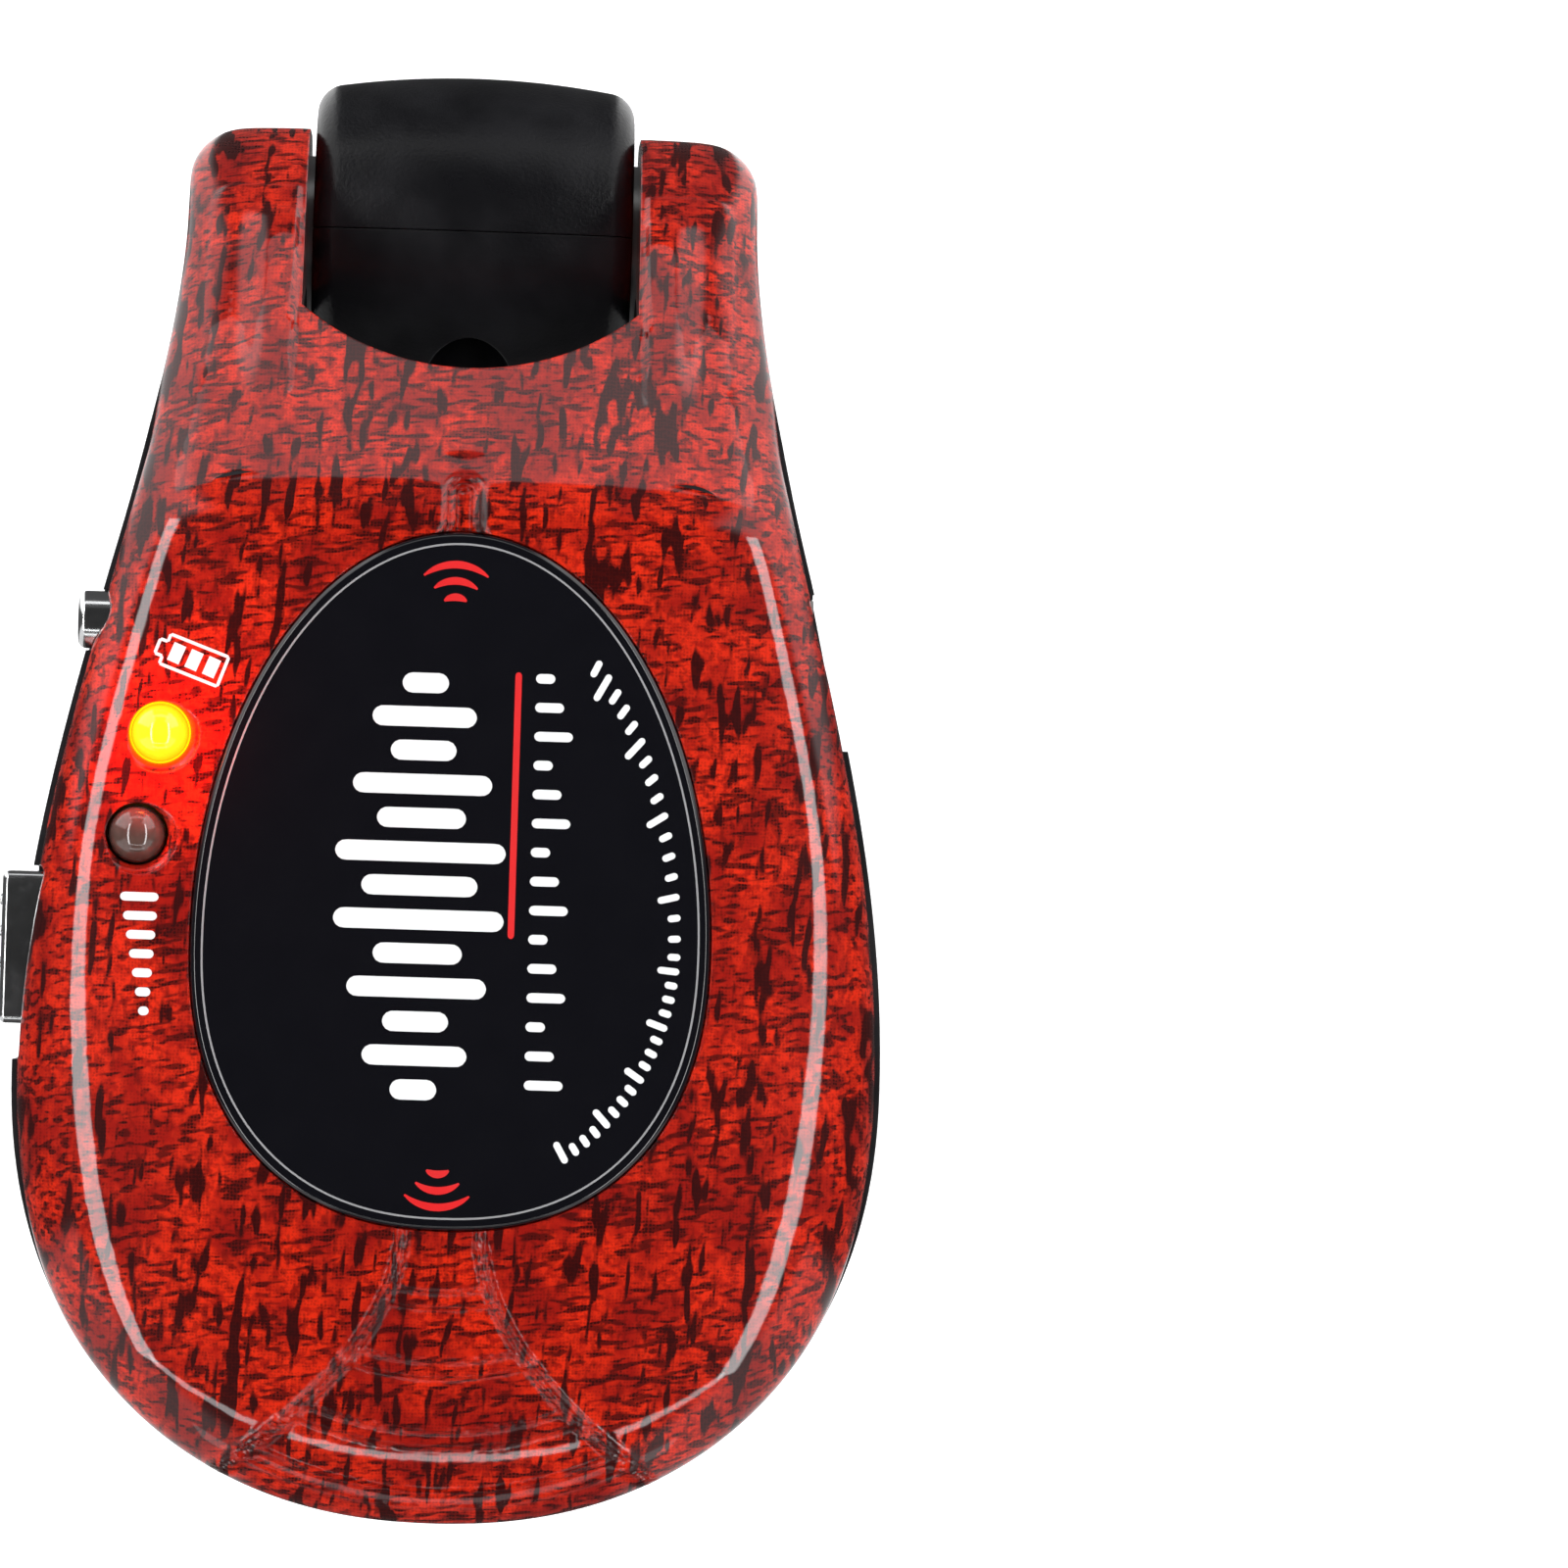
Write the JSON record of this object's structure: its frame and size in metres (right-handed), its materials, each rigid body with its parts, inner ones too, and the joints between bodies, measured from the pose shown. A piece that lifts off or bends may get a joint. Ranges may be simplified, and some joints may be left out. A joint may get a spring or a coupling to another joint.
{
  "type": "wireless guitar transmitter",
  "caption": "Egg-shaped guitar radio transmitter with a hinged quarter-inch jack plug, lights, power slider, push button and charging inlet.",
  "frame": {"origin": "on the plug's axis at its shoulder, where the sleeve leaves the collar", "axes": "+Z from the plug's tip up to the hinge and the front face, +Y towards the hinge end, +X across the housing towards the charging inlet"},
  "size_m": [0.0462, 0.077, 0.0866],
  "materials": {
    "red_gloss": "clear-coated film over plastic, satin grain under gloss",
    "black_satin": "fine-grained satin",
    "badge_black": "high gloss, domed",
    "silver_label": "matt foil",
    "screw_steel": "blackened",
    "board_green": "solder mask",
    "tin": "tinned",
    "chip_black": "moulded epoxy",
    "antenna_ceramic": "fired",
    "cell_foil": "laminate foil",
    "foam": "foam tape",
    "lead_jacket": "matt jacket",
    "switch_grey": "moulded",
    "lever_white": "moulded",
    "chrome_plate": "chromed plastic",
    "light_yellow": "lit, water-clear",
    "light_smoke": "unlit, tinted",
    "bush_steel": "turned",
    "nickel": "bright nickel",
    "insulator_black": "moulded",
    "lug_brass": "tinned brass",
    "fibre": "fibre washer"
  },
  "bodies": {
    "plug_arm": {"knuckle_inner": "black_satin", "knuckle_outer": "black_satin", "knuckle_screw": "screw_steel", "plug_collar": "black_satin", "plug_sleeve": "nickel", "plug_insulator": "insulator_black", "plug_tip": "nickel", "plug_rod": "nickel", "ground_lug": "lug_brass", "rear_insulator": "fibre", "tip_lug": "lug_brass", "plug_lead": "lead_jacket"},
    "housing": {"front_shell": "red_gloss", "rear_shell": "black_satin", "badge": "badge_black", "rear_label": "silver_label", "shell_screws": "screw_steel", "circuit_board": "board_green", "board_screws": "screw_steel", "shield_can": "tin", "radio_chip": "chip_black", "audio_chip": "chip_black", "charger_chip": "chip_black", "antenna": "antenna_ceramic", "battery_cell": "cell_foil", "battery_pad": "foam", "battery_leads": "lead_jacket", "usb_socket": "tin", "slide_switch": "switch_grey", "button_switch": "switch_grey", "battery_light": "light_yellow", "signal_light": "light_smoke", "board_lead": "lead_jacket", "hinge_bushes": "bush_steel", "friction_washers": "bush_steel"},
    "power_slider": {"slider_cap": "chrome_plate", "slider_lever": "lever_white"},
    "push_button": {"button_cap": "chrome_plate", "button_plunger": "lever_white"}
  },
  "joints": [
    {"name": "plug_hinge", "type": "hinge", "parent": "plug_arm", "child": "housing", "pos_m": [0, 0, 0.0231], "axis": [1, 0, 0], "range_deg": [-120, 90]},
    {"name": "power_slide", "type": "slide", "parent": "housing", "child": "power_slider", "axis": [0, -1, 0], "range_m": [0, 0.0016]},
    {"name": "button_press", "type": "slide", "parent": "housing", "child": "push_button", "axis": [1, 0, 0], "range_m": [0, 0.00035], "stiffness_N_per_m": 400, "springref_m": -0.0005}
  ]
}
